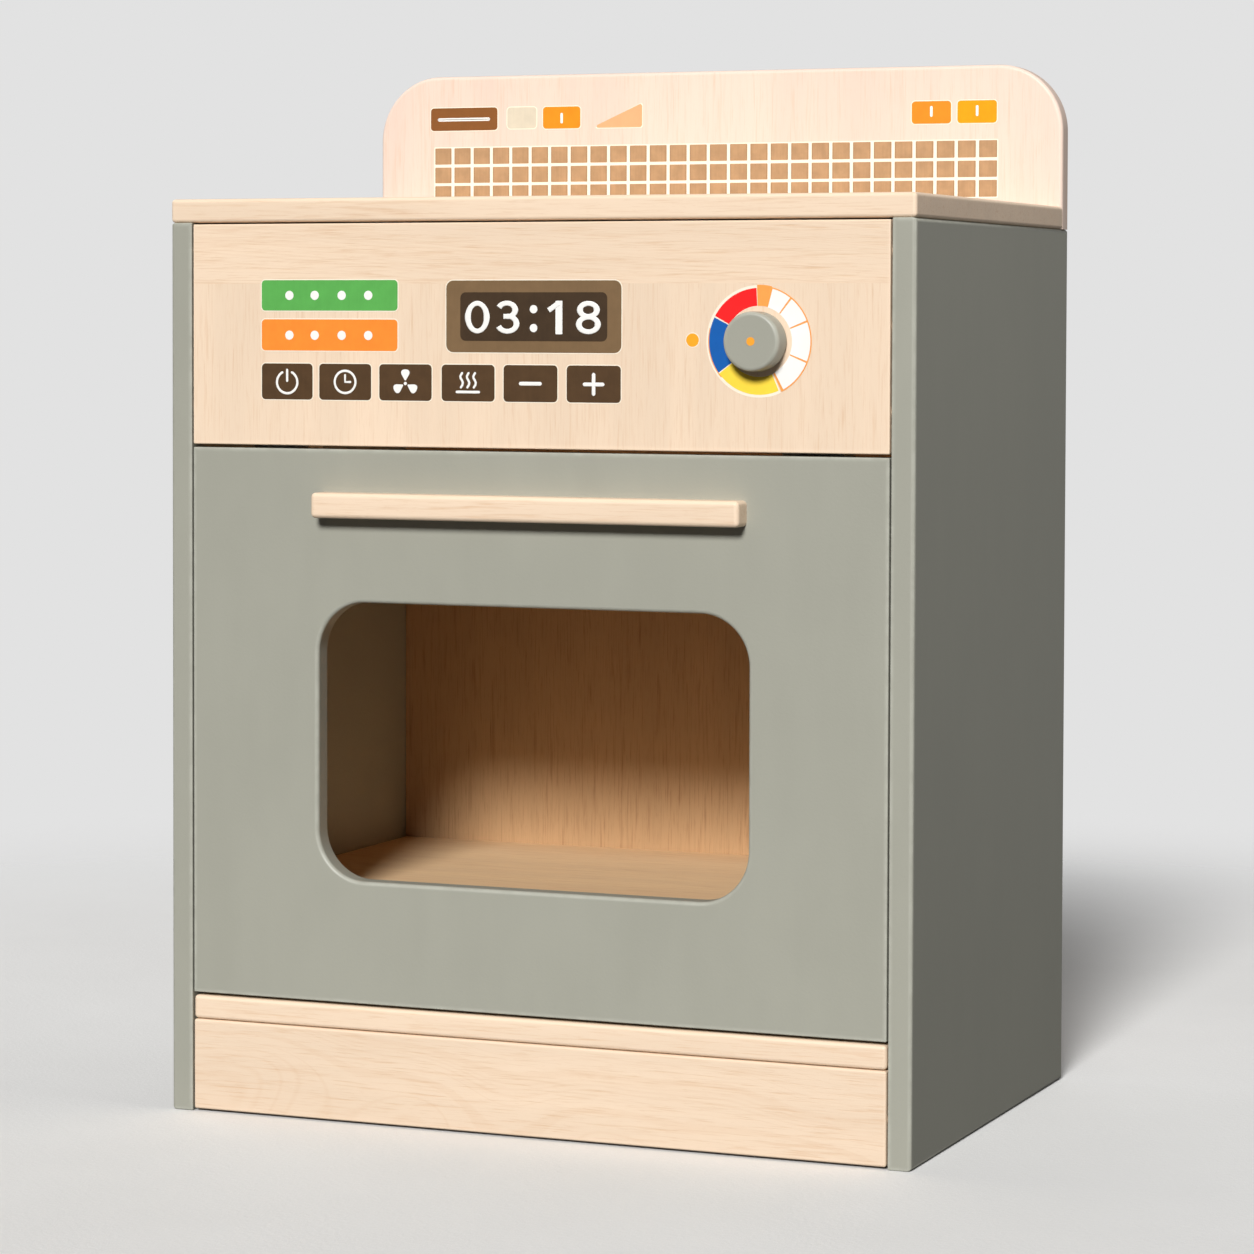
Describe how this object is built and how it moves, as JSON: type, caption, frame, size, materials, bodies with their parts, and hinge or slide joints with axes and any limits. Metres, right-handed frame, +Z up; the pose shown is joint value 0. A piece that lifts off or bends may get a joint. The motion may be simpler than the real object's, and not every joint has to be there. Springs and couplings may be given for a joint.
{
  "type": "toy kitchen",
  "caption": "Child's wooden play kitchen with worktop, splashback, printed control panel, turning knob and drop-down oven door with an open window.",
  "frame": {"origin": "on the floor, at the centre of the overall box (side panels' width; front of the handle and knob to the back)", "axes": "+X to the right side seen from the front, +Y to the back, +Z up"},
  "size_m": [0.5, 0.34, 0.68],
  "materials": {
    "sage_paint": "satin sage green paint on smooth board",
    "beech": "clear matt lacquer on light beech",
    "inner_beech": "clear matt lacquer on beech, inside the oven",
    "dowel_wood": "plain turned beech",
    "steel": "bright zinc plated",
    "zinc": "die-cast, matt",
    "nylon": "moulded",
    "magnet": "dark ferrite, matt"
  },
  "bodies": {
    "cabinet": {"left_side_panel": "sage_paint", "right_side_panel": "sage_paint", "worktop": "beech", "splashback": "beech", "top_rail": "beech", "control_panel": "beech", "bottom_board": "beech", "plinth": "beech", "oven_shelf": "inner_beech", "oven_ceiling": "inner_beech", "rear_rail": "inner_beech", "back_panel": "inner_beech", "stop_batten": "inner_beech", "left_plinth_block": "inner_beech", "right_plinth_block": "inner_beech", "dowels": "dowel_wood", "cam_bolts": "steel", "cam_locks": "zinc", "angle_brackets": "steel", "bracket_screws": "steel", "splashback_screws": "steel", "back_panel_screws": "steel", "batten_screws": "steel", "left_catch": "nylon", "right_catch": "nylon", "catch_magnets": "magnet", "catch_screws": "steel", "left_pivot_bush": "nylon", "right_pivot_bush": "nylon"},
    "door": {"oven_door": "sage_paint", "door_handle": "beech", "handle_screws": "steel", "left_pivot_pin": "steel", "right_pivot_pin": "steel", "left_strike_plate": "steel", "right_strike_plate": "steel", "strike_screws": "steel"},
    "knob": {"knob": "sage_paint", "knob_spindle": "dowel_wood", "knob_washer": "dowel_wood", "knob_screw": "steel"}
  },
  "joints": [
    {"name": "door_hinge", "type": "hinge", "parent": "cabinet", "child": "door", "pos_m": [0, -0.1475, 0.09899], "axis": [1, 0, 0], "range_deg": [0, 90]},
    {"name": "knob_turn", "type": "hinge", "parent": "cabinet", "child": "knob", "pos_m": [0.151, -0.155, 0.496], "axis": [0, -1, 0], "continuous": true}
  ]
}
